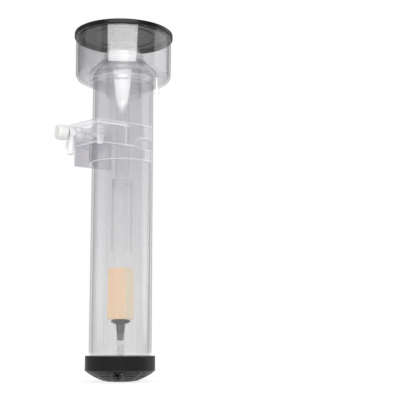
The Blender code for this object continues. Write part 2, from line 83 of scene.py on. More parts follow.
def finish(name, mesh, material=None, body=None, nodes=(), place=None):
    """Makes an object from a bmesh in millimetres. With no material it is a tool for combine()."""
    bmesh.ops.recalc_face_normals(mesh, faces=mesh.faces)
    if place:
        mesh.transform(place)
    mesh.transform(Matrix.Scale(METRE, 4))
    data = bpy.data.meshes.new(name)
    mesh.to_mesh(data)
    mesh.free()
    obj = bpy.data.objects.new(name, data)
    bpy.context.scene.collection.objects.link(obj)
    if material is None:
        obj.hide_render = True
        obj.display_type = "WIRE"
        return obj
    data.materials.append(material)
    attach(obj, body)
    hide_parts(*nodes)
    return obj


def combine(obj, operation, tool):
    """Cuts a tool from an object, or joins it on, removes the tool and clears the seam of slivers."""
    modifier = obj.modifiers.new("boolean", "BOOLEAN")
    modifier.operation = operation
    modifier.solver = "EXACT"
    modifier.object = tool
    bpy.context.view_layer.update()
    shape = obj.evaluated_get(bpy.context.evaluated_depsgraph_get())
    data = bpy.data.meshes.new_from_object(shape)
    mesh = bmesh.new()
    mesh.from_mesh(data)
    bmesh.ops.remove_doubles(mesh, verts=mesh.verts, dist=WELD * METRE)
    bmesh.ops.triangulate(mesh, faces=mesh.faces, ngon_method="BEAUTY")
    bmesh.ops.dissolve_degenerate(mesh, dist=WELD * METRE, edges=mesh.edges)
    mesh.to_mesh(data)
    mesh.free()
    obj.modifiers.clear()
    obj.data = data
    bpy.data.objects.remove(tool, do_unlink=True)


def even_normals(obj):
    """Shades an object smooth, but keeps wide faces flat beside narrow rounded edges."""
    obj.data.shade_smooth()
    obj.data.set_sharp_from_angle(angle=radians(SHARP_DEG))
    modifier = obj.modifiers.new("even_normals", "WEIGHTED_NORMAL")
    modifier.keep_sharp = True
    modifier.weight = 80


def rounded(outline, radius, steps=3, least_turn=25):
    """Rounds the corners of a closed outline, as far as the sides beside each corner allow."""
    points = [Vector(point) for point in outline]
    result = []
    for i, corner in enumerate(points):
        back = points[i - 1] - corner
        on = points[(i + 1) % len(points)] - corner
        opening = back.angle(on)
        if pi - opening < radians(least_turn) or corner.x < 1e-6:
            result.append(tuple(corner))
            continue
        reach = min(radius / tan(opening / 2), 0.42 * back.length, 0.42 * on.length)
        start = corner + back.normalized() * reach
        end = corner + on.normalized() * reach
        for step in range(steps + 1):
            t = step / steps
            point = start * (1 - t) ** 2 + corner * 2 * t * (1 - t) + end * t**2
            result.append(tuple(point))
    return result


def revolve(outline, segments):
    """Turns a closed outline of (radius, height) points about Z."""
    mesh = bmesh.new()
    rings = []
    turns = [2 * pi * step / segments for step in range(segments)]
    for radius, height in outline:
        if radius < 1e-6:
            rings.append([mesh.verts.new((0, 0, height))] * segments)
        else:
            rings.append([mesh.verts.new((radius * cos(a), radius * sin(a), height)) for a in turns])
    for ring, after in zip(rings, rings[1:] + rings[:1]):
        for step in range(segments):
            follow = (step + 1) % segments
            corners = list(dict.fromkeys([ring[step], ring[follow], after[follow], after[step]]))
            if len(corners) > 2:
                mesh.faces.new(corners)
    return mesh


def pipe_outline(outer, inner, bottom, top):
    """The outline that revolve() turns into a plain pipe."""
    return [(inner, bottom), (outer, bottom), (outer, top), (inner, top)]


def rod(radius, start, end, segments=ROUND_SMALL, edge=0.0):
    """A solid cylinder between two points, with rounded ends if edge is set."""
    start, end = Vector(start), Vector(end)
    along = end - start
    outline = [(0, 0), (radius, 0), (radius, along.length), (0, along.length)]
    if edge:
        outline = rounded(outline, edge)
    mesh = revolve(outline, segments)
    mesh.transform(Matrix.Translation(start) @ along.to_track_quat("Z", "Y").to_matrix().to_4x4())
    return mesh


def prism(points, bottom, top, mesh=None):
    """Extrudes a plan outline between two heights, into a given mesh or a new one."""
    mesh = mesh or bmesh.new()
    lower = [mesh.verts.new((x, y, bottom)) for x, y in points]
    upper = [mesh.verts.new((x, y, top)) for x, y in points]
    mesh.faces.new(lower)
    mesh.faces.new(upper)
    for i, _ in enumerate(points):
        j = (i + 1) % len(points)
        mesh.faces.new([lower[i], lower[j], upper[j], upper[i]])
    return mesh


def strip(path, thickness):
    """The outline of a wall that follows a centre line, with mitred corners."""
    path = [Vector(point) for point in path]
    left, right = [], []
    for i, point in enumerate(path):
        before = (point - path[i - 1]).normalized() if i else (path[1] - point).normalized()
        after = (path[i + 1] - point).normalized() if i + 1 < len(path) else before
        across = (Vector((-before.y, before.x)) + Vector((-after.y, after.x))).normalized()
        reach = thickness / 2 / across.dot(Vector((-before.y, before.x)))
        left.append(tuple(point + across * reach))
        right.append(tuple(point - across * reach))
    return left + right[::-1]


def arc(radius, start_deg, end_deg, steps, centre=(0.0, 0.0)):
    """Points along an arc, with its two ends."""
    angles = [radians(start_deg + (end_deg - start_deg) * i / steps) for i in range(steps + 1)]
    return [(centre[0] + radius * cos(a), centre[1] + radius * sin(a)) for a in angles]


def polar(distance, degrees, height):
    """The point at a distance from the tube's axis, in a direction and at a height."""
    return (distance * cos(radians(degrees)), distance * sin(radians(degrees)), height)


# ---------------------------------------------------------------- materials


class Shader:
    """A new material, with short ways to add nodes to it."""

    def __init__(self, name):
        self.material = bpy.data.materials.new(name)
        self.material.use_nodes = True
        self.tree = self.material.node_tree
        self.tree.nodes.clear()

    def node(self, kind, inputs=None, **settings):
        node = self.tree.nodes.new("ShaderNode" + kind)
        for name, value in settings.items():
            setattr(node, name, value)
        for key, value in (inputs or {}).items():
            if isinstance(value, bpy.types.NodeSocket):
                self.tree.links.new(value, node.inputs[key])
            else:
                node.inputs[key].default_value = value
        return node

    def maths(self, operation, *values, clamp=False):
        return self.node("Math", dict(enumerate(values)), operation=operation, use_clamp=clamp).outputs[0]

    def mix(self, factor, low, high):
        """A colour between two colours."""
        low, high = [(*c, 1.0) if isinstance(c, tuple) and len(c) == 3 else c for c in (low, high)]
        return self.node("Mix", {0: factor, 6: low, 7: high}, data_type="RGBA").outputs[2]

    def span(self, value, low, high, to_low, to_high):
        """A value's range low..high turned into to_low..to_high, and held there."""
        inputs = {"Value": value, 1: low, 2: high, 3: to_low, 4: to_high}
        return self.node("MapRange", inputs).outputs[0]

    def place(self, stretch=(1, 1, 1)):
        """The point in the row frame, in millimetres, stretched along the axes."""
        coordinates = self.node("TexCoord").outputs["Object"]
        scale = tuple(k / METRE for k in stretch)
        return self.node("Mapping", {"Vector": coordinates, "Scale": scale}).outputs[0]

    def noise(self, per_mm, stretch=(1, 1, 1), detail=3.0, roughness=0.55):
        inputs = {"Vector": self.place(stretch), "Scale": per_mm, "Detail": detail, "Roughness": roughness}
        return self.node("TexNoise", inputs).outputs[0]

    def bump(self, height, strength, distance, normal=None):
        inputs = {"Height": height, "Strength": strength, "Distance": distance * METRE}
        if normal:
            inputs["Normal"] = normal
        return self.node("Bump", inputs).outputs[0]

    def end(self, surface):
        self.node("OutputMaterial", {"Surface": surface})
        return self.material


def clear_plastic(name, tint, edge_tint, haze, body, gloss=0.045, rim_haze=0.0, drawn=0.0, turned=0.0,
                  painted_edge_highlight=0.0, darker_along=None, core=None):
    """Thin clear plastic: each face lets most light through, hazes a little and mirrors by its angle.

    rim_haze is the haze that is added where a face is seen edge on. drawn is how much fine lines along Z add
    to the haze, and turned is the same for lines round Z. painted_edge_highlight is how white the cut edges
    are painted, most of all those that face down: a painted highlight. darker_along is (direction, place along
    it with the tint, place with the darker tint, darker tint); on the cup and the hanger's back plate this
    darkening is painted shade, and on the tube it only makes the tube darker towards the top. core is (radius
    with the core's tint, radius without it, core's tint).
    """
    s = Shader(name)
    facing = s.node("LayerWeight", {"Blend": 0.5}).outputs["Facing"]
    rim = s.maths("POWER", facing, 2.6)
    dust_and_sheen = s.noise(1.4, detail=5.0)
    smear = s.noise(0.09, (1, 1, 0.5), detail=4.0)
    share = s.maths("MULTIPLY_ADD", rim, rim_haze, haze)
    share = s.maths("MULTIPLY_ADD", s.span(dust_and_sheen, 0.55, 0.8, 0.0, 1.0), 0.4 * haze, share)
    share = s.maths("MULTIPLY_ADD", s.span(smear, 0.4, 0.7, 0.0, 1.0), 0.3 * haze, share)
    if drawn:
        lines = s.noise(0.55, (1, 1, 0.012), detail=4.0, roughness=0.7)
        share = s.maths("MULTIPLY_ADD", s.span(lines, 0.35, 0.7, 0.0, 1.0), drawn, share)
    away = s.node("VectorMath", {0: s.place((1, 1, 0))}, operation="LENGTH").outputs["Value"]
    outside_core = s.span(away, core[0], core[1], 0.0, 1.0) if core else 0.0
    if turned:
        rings = s.noise(0.9, (0.02, 0.02, 1), detail=4.0, roughness=0.7)
        inside_core = s.maths("SUBTRACT", 1.0, outside_core)
        rings = s.maths("MULTIPLY", s.span(rings, 0.52, 0.62, 0.0, turned), inside_core)
        share = s.maths("ADD", share, rings)
    # Cut edges are whitened, most where they face down: a painted highlight.
    if painted_edge_highlight:
        flat = s.node("NewGeometry").outputs["Normal"]
        bent = s.node("Bevel", {"Radius": 0.9 * METRE}, samples=6).outputs[0]
        turn = s.node("VectorMath", {0: flat, 1: bent}, operation="DOT_PRODUCT").outputs["Value"]
        up = s.node("SeparateXYZ", {0: bent}).outputs["Z"]
        light = s.maths("MULTIPLY", s.span(turn, 0.995, 0.90, 0.0, 1.0), s.span(up, -0.05, -0.35, 0.5, 1.0))
        share = s.maths("MULTIPLY_ADD", light, painted_edge_highlight, share, clamp=True)
    # The tint darkens along a direction: painted shade on the cup and the hanger's back plate; on the tube it
    # only darkens towards the top.
    if darker_along:
        direction, clear_at, darkest_at, darker_tint = darker_along
        along = s.node("VectorMath", {0: s.place(), 1: direction}, operation="DOT_PRODUCT").outputs["Value"]
        tint = s.mix(s.span(along, clear_at, darkest_at, 0.0, 1.0), tint, darker_tint)
    if core:
        tint = s.mix(outside_core, core[2], tint)
    through = s.node("BsdfTransparent", {"Color": s.mix(rim, tint, edge_tint)}).outputs[0]
    ripple = s.bump(s.noise(0.08, (1, 1, 0.5), detail=0.0), 0.1, 0.1)
    colour = s.mix(dust_and_sheen, tuple(0.94 * c for c in body), body)
    skin = s.node("BsdfPrincipled", {"Base Color": colour, "Roughness": s.span(smear, 0.3, 0.8, 0.1, 0.3),
                                     "IOR": 1.49, "Normal": ripple}).outputs[0]
    hazy = s.node("MixShader", {0: share, 1: through, 2: skin}).outputs[0]
    mirror = s.node("BsdfAnisotropic", {"Color": (1, 1, 1, 1), "Normal": ripple,
                                        "Roughness": s.span(smear, 0.3, 0.8, 0.03, 0.09)}).outputs[0]
    grazing = s.maths("MULTIPLY_ADD", s.maths("POWER", facing, 5.0), 0.6, gloss)
    return s.end(s.node("MixShader", {0: grazing, 1: hazy, 2: mirror}).outputs[0])


def moulded(name, colour, light, rough, shine=0.5, grain=0.0, scuffs=0.0, painted_highlight_on_edges=0.0, dust_and_sheen=0.0):
    """Opaque moulded plastic with a fine grain, faint smears, lighter scuffs and edges lightened as a painted
    highlight.

    rough is the lowest and highest roughness, and dust_and_sheen is how pale a thin film is on the faces that
    look up: dust, and with it a painted sheen.
    """
    s = Shader(name)
    fine = s.noise(6.0, detail=2.0)
    smear = s.noise(0.12, detail=5.0)
    scratch = s.noise(1.1, (1, 1, 0.15), detail=6.0, roughness=0.7)
    tone = s.mix(smear, colour, light)
    tone = s.mix(s.span(scratch, 0.6, 0.72, 0.0, scuffs), tone, tuple(min(1.0, c + 0.25) for c in light))
    bent = s.node("Bevel", {"Radius": (0.7 if painted_highlight_on_edges else 0.35) * METRE}, samples=4).outputs[0]
    # Edges are lightened: a painted highlight.
    if painted_highlight_on_edges:
        flat = s.node("NewGeometry").outputs["Normal"]
        turn = s.node("VectorMath", {0: flat, 1: bent}, operation="DOT_PRODUCT").outputs["Value"]
        tone = s.mix(s.span(turn, 0.99, 0.85, 0.0, 1.0), tone, tuple(c + painted_highlight_on_edges for c in light))
    # A pale film on the faces that look up: dust and a painted sheen.
    if dust_and_sheen:
        up = s.node("SeparateXYZ", {0: s.node("NewGeometry").outputs["Normal"]}).outputs["Z"]
        specks = s.noise(0.5, detail=8.0, roughness=0.75)
        film = s.maths("MULTIPLY", s.span(up, 0.6, 0.95, 0.0, 1.0), s.span(specks, 0.35, 0.7, 0.3, 1.0))
        tone = s.mix(film, tone, (dust_and_sheen, dust_and_sheen, 1.02 * dust_and_sheen))
    normal = s.bump(fine, grain, 0.05, s.bump(smear, 0.08, 0.15, bent))
    inputs = {"Base Color": tone, "Normal": normal, "IOR": 1.5, "Specular IOR Level": shine,
              "Roughness": s.span(smear, 0.3, 0.75, rough[0], rough[1])}
    return s.end(s.node("BsdfPrincipled", inputs).outputs[0])


def milky_plastic(name, colour, alpha):
    """Translucent moulded nylon, clearer in its thin walls."""
    s = Shader(name)
    cloud = s.noise(0.5, detail=4.0)
    fine = s.noise(5.0, detail=2.0)
    facing = s.node("LayerWeight", {"Blend": 0.5}).outputs["Facing"]
    share = s.maths("MULTIPLY_ADD", s.maths("POWER", facing, 2.0), 1 - alpha,
                    s.span(cloud, 0.3, 0.7, alpha - 0.05, alpha), clamp=True)
    skin = s.node("BsdfPrincipled", {"Base Color": s.mix(cloud, colour, (0.82, 0.82, 0.84)), "IOR": 1.5,
                                     "Roughness": s.span(fine, 0.3, 0.7, 0.24, 0.34),
                                     "Subsurface Weight": 0.1, "Subsurface Scale": 0.003,
                                     "Normal": s.bump(fine, 0.1, 0.03)}).outputs[0]
    clear = s.node("BsdfTransparent", {"Color": (0.95, 0.95, 0.97, 1)}).outputs[0]
    return s.end(s.node("MixShader", {0: share, 1: clear, 2: skin}).outputs[0])


# The direction of the block's face that is painted paler, as painted light.
PAINTED_LIGHT_FACE = (0.574, -0.819, 0.0)


def raw_wood(name):
    """Pale limewood: long fine fibres up the block, short dark pores, a slow drift, and one face made paler:
    painted light.
    """
    s = Shader(name)
    fibre = s.noise(2.6, (1, 1, 0.07), detail=6.0, roughness=0.65)
    drift = s.noise(0.12, (1, 1, 0.3), detail=2.0)
    pores = s.noise(5.0, (1, 1, 0.16), detail=2.0)
    warm = s.mix(drift, (0.95, 0.60, 0.35), (0.99, 0.69, 0.44))
    tone = s.mix(s.span(fibre, 0.35, 0.7, 0.0, 1.0), warm, (1.0, 0.79, 0.56))
    tone = s.mix(s.span(pores, 0.64, 0.74, 0.0, 0.55), tone, (0.55, 0.33, 0.17))
    # One side face is made paler: painted light on that side of the block.
    face = s.node("VectorMath", {0: s.node("NewGeometry").outputs["Normal"], 1: PAINTED_LIGHT_FACE},
                  operation="DOT_PRODUCT").outputs["Value"]
    tone = s.mix(s.span(face, 0.6, 0.9, 0.0, 0.75), tone, (1.0, 0.87, 0.68))
    normal = s.bump(fibre, 0.35, 0.12, s.bump(pores, 0.4, 0.1))
    return s.end(s.node("BsdfPrincipled", {"Base Color": tone, "Roughness": 0.82, "Normal": normal,
                                           "Subsurface Weight": 0.15, "Subsurface Scale": 0.002}).outputs[0])


def fitting_plastic(name, barb_top, flange_bottom):
    """The stone's fitting: brown flange that turns to a dull blue-grey down the barb."""
    s = Shader(name)
    height = s.node("SeparateXYZ", {0: s.place()}).outputs["Z"]
    cloud = s.noise(0.7, detail=5.0)
    streak = s.noise(1.6, (1, 1, 0.08), detail=4.0)
    brown = s.mix(cloud, (0.012, 0.006, 0.005), (0.05, 0.026, 0.02))
    grey = s.mix(s.span(streak, 0.3, 0.7, 0.0, 1.0), (0.03, 0.03, 0.034), (0.13, 0.13, 0.145))
    tone = s.mix(s.span(height, barb_top, flange_bottom, 0.0, 1.0), grey, brown)
    normal = s.bump(cloud, 0.2, 0.1, s.bump(streak, 0.2, 0.06))
    return s.end(s.node("BsdfPrincipled", {"Base Color": tone, "Normal": normal, "IOR": 1.5,
                                           "Roughness": s.span(cloud, 0.3, 0.7, 0.28, 0.5)}).outputs[0])


def make_paints():
    # Where these looks whiten cut edges or lighten moulded edges, that is a painted highlight.
    return {
        "tube": clear_plastic("clear_tube", (0.938, 0.938, 0.942), (0.84, 0.84, 0.85), 0.03,
                              (0.62, 0.62, 0.63), drawn=0.06,
                              darker_along=((0, 0, 1), 70.0, 200.0, (0.865, 0.865, 0.872))),
        # The cup is tinted darker towards its upper left as the camera sees it: painted shade.
        "cup": clear_plastic("clear_cup", (0.90, 0.90, 0.905), (0.70, 0.70, 0.72), 0.008,
                             (0.90, 0.90, 0.91), turned=0.25, painted_edge_highlight=0.7,
                             darker_along=((-0.84, 0.54, 0.5), 132.0, 168.0, (0.79, 0.79, 0.80)),
                             core=(29.0, 33.0, (0.965, 0.965, 0.965))),
        "inner": clear_plastic("clear_inner", (0.992, 0.992, 0.992), (0.97, 0.97, 0.975), 0.05,
                               (0.97, 0.97, 0.97), rim_haze=0.35, drawn=0.3, painted_edge_highlight=0.6),
        "hub": clear_plastic("cloudy_hub", (0.985, 0.985, 0.985), (0.95, 0.95, 0.96), 0.22,
                             (0.95, 0.95, 0.95), gloss=0.07, drawn=0.25),
        "neck": clear_plastic("clear_neck", (0.985, 0.985, 0.985), (0.86, 0.86, 0.87), 0.04,
                              (0.95, 0.95, 0.95), rim_haze=0.3, turned=0.35, painted_edge_highlight=0.8),
        # The nipple's heavy white haze and whitened edges are a painted highlight.
        "nipple": clear_plastic("bright_nipple", (0.98, 0.98, 0.98), (0.93, 0.93, 0.93), 0.5,
                                (0.98, 0.98, 0.98), gloss=0.1, rim_haze=0.5, painted_edge_highlight=0.9),
        # The hanger's back plate is tinted darker: painted shade.
        "hanger": clear_plastic("clear_hanger_look", (0.94, 0.935, 0.945), (0.80, 0.79, 0.81), 0.06,
                                (0.88, 0.88, 0.90), painted_edge_highlight=0.95,
                                darker_along=((-0.35, 0.94, 0), 26.0, 33.0, (0.73, 0.72, 0.745))),
        "soft": clear_plastic("clear_hose", (0.985, 0.985, 0.985), (0.86, 0.86, 0.88), 0.02,
                              (0.75, 0.75, 0.77)),
        # The base's lightened edges are a painted highlight.
        "base": moulded("black_base_look", (0.003, 0.003, 0.004), (0.008, 0.008, 0.009), (0.34, 0.46),
                        shine=0.2, grain=0.25, scuffs=0.04, painted_highlight_on_edges=0.3),
        # The pale film on the lid's top is dust and a painted sheen.
        "lid": moulded("black_lid_look", (0.002, 0.002, 0.003), (0.005, 0.005, 0.006), (0.20, 0.32),
                       shine=0.16, grain=0.04, scuffs=0.008, painted_highlight_on_edges=0.02, dust_and_sheen=0.035),
        "white": moulded("white_knob_look", (0.66, 0.66, 0.65), (0.72, 0.72, 0.71), (0.30, 0.42),
                         grain=0.10, scuffs=0.03),
        "grey": moulded("grey_gasket_look", (0.20, 0.21, 0.25), (0.26, 0.27, 0.31), (0.55, 0.70), grain=0.3),
        "milky": milky_plastic("milky_look", (0.76, 0.76, 0.78), 0.86),
        "wood": raw_wood("limewood_look"),
        "fitting": fitting_plastic("fitting_look", 45.0, 47.0),
    }


# ---------------------------------------------------------------- base and air stone

DOME_TOP = 8.5
FOOT_R = 10.3
DOME_WALL = 2.0
DOME_STEPS = 14
CAP_LEDGE = 10.5
CAP_LEDGE_R = 22.8
CAP_EDGE = 0.5
SLOT_RADII = (12.6, 16.4, 20.2)
SLOT_WIDTH = 2.0
SLOTS_ROUND = 8
SLOT_RIB_DEG = 9.0
SLOT_CLEAR_DEG = 18.0
OUTER_SLOT_CLEAR_DEG = 14.0
RIB_START_R = 12.2
RIB_LENGTH = 14
RIB_PROUD = 0.4
RIB_ROOT = 0.8
RIB_WIDTH = 1.2
PORT_DEG = -123.0
PORT_Z = 5.1
PORT_R = 4.3
PORT_BORE_R = 3.0
PORT_START = 14
PORT_END = 25.2
PORT_EDGE = 0.4
POST_R = 3.5
POST_WALL = 1.4
POST_TOP = 5.5


def make_base(paint):
    """The cap's band, ledge and strainer dome, with the air port, the slots and the ribs."""
    high = box("base_cap")[1]
    cap_r, cap_top = high.x, high.z
    socket_r = box("main_tube")[1].x + TUBE_CLEARANCE

    def dome(radius):
        """The height of the dome's outer face."""
        return DOME_TOP * (radius**2 - FOOT_R**2) / (cap_r**2 - FOOT_R**2)

    steps = [i / DOME_STEPS for i in range(DOME_STEPS + 1)]
    outer = [FOOT_R + (cap_r - FOOT_R) * t for t in steps]
    inner = [CAP_LEDGE_R + (FOOT_R - CAP_LEDGE_R) * t for t in steps]
    outline = [(0, 0)] + [(r, dome(r)) for r in outer]
    outline += [(cap_r, cap_top), (socket_r, cap_top), (socket_r, CAP_LEDGE), (CAP_LEDGE_R, CAP_LEDGE)]
    outline += [(r, dome(r) + DOME_WALL) for r in inner]
    post = POST_R + GAP
    outline += [(post + POST_WALL, DOME_WALL), (post + POST_WALL, POST_TOP), (post, POST_TOP),
                (post, DOME_WALL), (0, DOME_WALL)]
    cap = finish("base_cap_fine", revolve(rounded(outline, CAP_EDGE), ROUND_LARGE), paint["base"], "base",
                 ["base_cap"])
    start, end = polar(PORT_START, PORT_DEG, PORT_Z), polar(PORT_END, PORT_DEG, PORT_Z)
    combine(cap, "UNION", finish("port_boss", rod(PORT_R, start, end, edge=PORT_EDGE)))
    bore = rod(PORT_BORE_R, (0, 0, PORT_Z), polar(cap_r + 2, PORT_DEG, PORT_Z))
    combine(cap, "DIFFERENCE", finish("port_bore", bore))
    combine(cap, "DIFFERENCE", finish("slots", slot_cutters()))
    combine(cap, "UNION", finish("ribs", dome_ribs(dome)))
    even_normals(cap)


def dome_ribs(dome):
    """Thin ribs that run down the dome between the ends of the slots, all but under the port."""
    mesh = bmesh.new()
    radii = [RIB_START_R + i for i in range(RIB_LENGTH + 1)]
    outline = [(r, dome(r) - RIB_PROUD) for r in radii]
    outline += [(r, dome(r) + RIB_ROOT) for r in reversed(radii)]
    for i in range(1, SLOTS_ROUND):
        rib = prism(outline, -RIB_WIDTH / 2, RIB_WIDTH / 2)
        turn = Matrix.Rotation(radians(PORT_DEG + i * 360 / SLOTS_ROUND), 4, "Z")
        rib.transform(turn @ Matrix.Rotation(radians(90), 4, "X"))
        part = bpy.data.meshes.new("rib")
        rib.to_mesh(part)
        rib.free()
        mesh.from_mesh(part)
        bpy.data.meshes.remove(part)
    return mesh


def slot_cutters():
    """All the strainer's arc slots, clear of the port's boss."""
    mesh = bmesh.new()
    pitch = 360 / SLOTS_ROUND
    for radius in SLOT_RADII:
        clear = SLOT_CLEAR_DEG if radius < SLOT_RADII[-1] else OUTER_SLOT_CLEAR_DEG
        for i in range(SLOTS_ROUND):
            start = PORT_DEG + i * pitch + SLOT_RIB_DEG / 2
            end = start + pitch - SLOT_RIB_DEG
            start = PORT_DEG + clear if i == 0 else start
            end = PORT_DEG + 360 - clear if i == SLOTS_ROUND - 1 else end
            plan = arc(radius, start, end, 10) + arc(radius + SLOT_WIDTH, end, start, 10)
            prism(plan, -1, CAP_LEDGE - 0.5, mesh)
    return mesh


# Air line inside the tube
NIPPLE_COLLAR = 3.2
NIPPLE_NECK_R = 1.9
NIPPLE_BARB = 5.2
NIPPLE_BARB_R = 2.05
NIPPLE_TIP_R = 1.7
SLEEVE_WALL = 0.8
SLEEVE_WAIST_R = 2.65

# Air stone
BARB_RIBS = 4
BARB_PITCH = 2.4
BARB_ROOT = 45.2
BARB_ROOT_R = 3.75
FLANGE_BOTTOM = 47.0
FLANGE_TOP = 48.9
FLANGE_TOP_R = 6.4
PEG_R = 4.0
PEG_HOLE_TOP = 60.6
BLOCK_SIDE = 16.0
BLOCK_EDGE = 0.55
BLOCK_TURN = 35.0


def make_air_line(paint):
    """The nipple above the foot, the soft sleeve on it, and the elbow below, which keeps its CAD shape."""
    low, high = box("base_nipple")
    collar_r, collar_top = high.x, low.z + NIPPLE_COLLAR
    outline = [(AIR_BORE_R, low.z), (collar_r, low.z), (collar_r, collar_top), (NIPPLE_NECK_R, collar_top),
               (NIPPLE_BARB_R, low.z + NIPPLE_BARB), (NIPPLE_TIP_R, high.z), (AIR_BORE_R, high.z)]
    nipple = revolve(rounded(outline, 0.3), ROUND_SMALL)
    even_normals(finish("base_nipple_fine", nipple, paint["inner"], "base", ["base_nipple"]))

    low, high = box("connector_sleeve")
    top_r, waist = high.x, box("airstone_fitting")[0].z
    outline = [(BARB_TIP_R, low.z), (BARB_TIP_R + SLEEVE_WALL, low.z), (SLEEVE_WAIST_R + SLEEVE_WALL, waist),
               (top_r, high.z), (top_r - SLEEVE_WALL, high.z), (SLEEVE_WAIST_R, waist)]
    sleeve = revolve(rounded(outline, 0.2), ROUND_SMALL)
    even_normals(finish("connector_sleeve_fine", sleeve, paint["soft"], "base",
                        ["connector_sleeve"]))
    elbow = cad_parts["base_elbow"]
    elbow.data.materials.clear()
    elbow.data.materials.append(paint["base"])


def make_air_stone(paint):
    """The fitting, with a ribbed barb, flange and peg, and the wooden block on its peg."""
    low, high = box("airstone_fitting")
    flange_r = high.x
    ribs = []
    for i in range(1, BARB_RIBS + 1):
        z = low.z + i * BARB_PITCH
        r = BARB_TIP_R + (BARB_ROOT_R - BARB_TIP_R) * (z - low.z) / (BARB_ROOT - low.z)
        ribs += [(r - 0.06, z - 0.9), (r + 0.16, z - 0.12), (r - 0.04, z)]
    outline = [(AIR_BORE_R, low.z), (BARB_TIP_R, low.z)] + ribs
    outline += [(BARB_ROOT_R, BARB_ROOT), (flange_r - 0.2, FLANGE_BOTTOM), (flange_r, FLANGE_BOTTOM + 0.4),
                (flange_r - 0.1, FLANGE_BOTTOM + 0.8), (FLANGE_TOP_R, FLANGE_TOP), (PEG_R, FLANGE_TOP),
                (PEG_R, high.z), (AIR_BORE_R, high.z)]
    mesh = revolve(rounded(outline, 0.15, 2), ROUND_MEDIUM)
    even_normals(finish("airstone_fitting_fine", mesh, paint["fitting"], "air_stone",
                        ["airstone_fitting"]))

    low, high = box("airstone_block")
    half = BLOCK_SIDE / 2
    block = prism([(-half, -half), (half, -half), (half, half), (-half, half)], low.z, high.z)
    bmesh.ops.bevel(block, geom=block.edges[:], offset=BLOCK_EDGE, segments=3, affect="EDGES", profile=0.6)
    block.transform(Matrix.Rotation(radians(BLOCK_TURN), 4, "Z"))
    block = finish("airstone_block_fine", block, paint["wood"], "air_stone", ["airstone_block"])
    socket = rod(PEG_R + GAP, (0, 0, low.z - 1), (0, 0, PEG_HOLE_TOP))
    combine(block, "DIFFERENCE", finish("stone_socket", socket))
    even_normals(block)


# ---------------------------------------------------------------- tubes, neck and cup

TUBE_WALL = 1.8
INNER_TUBE_WALL = 1.0
PLUG_LIP = 1.3

# Spider
SPIDER_BORE_R = 2.6
SPIDER_PLUG_R = 4.5
SPIDER_PLUG_TOP = 228.6
HUB_R = 5.4
HUB_NOSE = 231.4
HUB_NOSE_REACH = (1.6, 2.4)
HUB_SHOULDER = 249.0
SPIDER_RING = (238.0, 244.0)
SPIDER_RING_WALL = 1.2
ARMS = 3
ARM_Z = (239.0, 243.0)
ARM_START_R = 4.4
ARM_HALF_WIDTH = 0.8
ARM_TURN = 0.13

# Neck
NECK_WALL = 1.25
NECK_CONE = 270.0
NECK_TOP_R = 11.3
BANDS = 7
BAND_BOTTOM = 239.0
BAND_PITCH = 4.2
BAND_DEPTH = 0.2
RING_GROOVE = (265.2, 265.7, 266.7, 267.2)
RING_GROOVE_DEPTH = 0.7
RING_SHOULDER = 268.0

# Cup
CUP_WALL = 1.8
CUP_LOW_R = 39.4
CUP_CORNER_R = 6.0
CUP_BOTTOM = 246.0
SKIRT_R = 27.6
DRAIN_R = 2.45
DRAIN_BORE_R = 1.5

# Lid
LID_UNDER = 284.2
LID_SKIRT_GAP = 0.8
LID_SKIRT_WALL = 0.9
LID_DISH = 0.35
LID_RIM_R = (33.6, 34.6)
LID_SEAT_R = (36.2, 37.2)
LID_SEAT_BOTTOM = 282.4
LID_BEAD_R = (25.4, 26.6)
LID_BEAD = 0.7


def make_tubes(paint):
    """The contact tube, the two inner tubes and the plug that joins them."""
    for node, wall, edge, look, body in (("main_tube", TUBE_WALL, 0.4, "tube", "tube"),
                                         ("inner_tube_lower", INNER_TUBE_WALL, 0.25, "inner", "cup"),
                                         ("inner_tube_upper", INNER_TUBE_WALL, 0.25, "inner", "cup")):
        low, high = box(node)
        outline = rounded(pipe_outline(high.x, high.x - wall, low.z, high.z), edge)
        segments = ROUND_LARGE if node == "main_tube" else ROUND_MEDIUM
        tube = finish(node + "_fine", revolve(outline, segments), paint[look], body, [node])
        even_normals(tube)

    low, high = box("inner_tube_reducer")
    bore, plug = box("inner_tube_upper")[1].x + GAP, high.x - PLUG_LIP
    rim = box("inner_tube_lower")[1].z + GAP
    outline = [(bore, low.z), (plug, low.z), (plug, rim), (high.x, rim), (high.x, high.z), (bore, high.z)]
    mesh = revolve(rounded(outline, 0.3), ROUND_MEDIUM)
    even_normals(finish("inner_tube_reducer_fine", mesh, paint["inner"], "cup",
                        ["inner_tube_reducer"]))


def make_spider(paint):
    """The hub with its rounded nose, its ring and the arms between them."""
    low, high = box("neck_spider")
    ring_r, (nose_in, nose_down) = high.x, HUB_NOSE_REACH
    nose = [(HUB_R - nose_in * (1 - cos(radians(a))), HUB_NOSE - nose_down * sin(radians(a)))
            for a in range(75, -1, -15)]
    outline = [(SPIDER_BORE_R, low.z), (SPIDER_PLUG_R, low.z), (SPIDER_PLUG_R, SPIDER_PLUG_TOP)] + nose
    outline += [(HUB_R, HUB_SHOULDER), (HUB_R - 1.0, high.z), (SPIDER_BORE_R, high.z)]
    hub = finish("neck_spider_fine", revolve(rounded(outline, 0.3), ROUND_MEDIUM), paint["hub"], "cup",
                 ["neck_spider"])
    ring = revolve(rounded(pipe_outline(ring_r, ring_r - SPIDER_RING_WALL, *SPIDER_RING), 0.35), ROUND_MEDIUM)
    combine(hub, "UNION", finish("spider_ring", ring))
    arms = bmesh.new()
    reach, half = ring_r - SPIDER_RING_WALL / 2, ARM_HALF_WIDTH
    for i in range(ARMS):
        turn = Matrix.Rotation(2 * pi * (i + ARM_TURN) / ARMS, 2)
        plan = [(ARM_START_R, -half), (reach, -half), (reach, half), (ARM_START_R, half)]
        prism([tuple(turn @ Vector(p)) for p in plan], *ARM_Z, arms)
    combine(hub, "UNION", finish("spider_arms", arms))
    even_normals(hub)


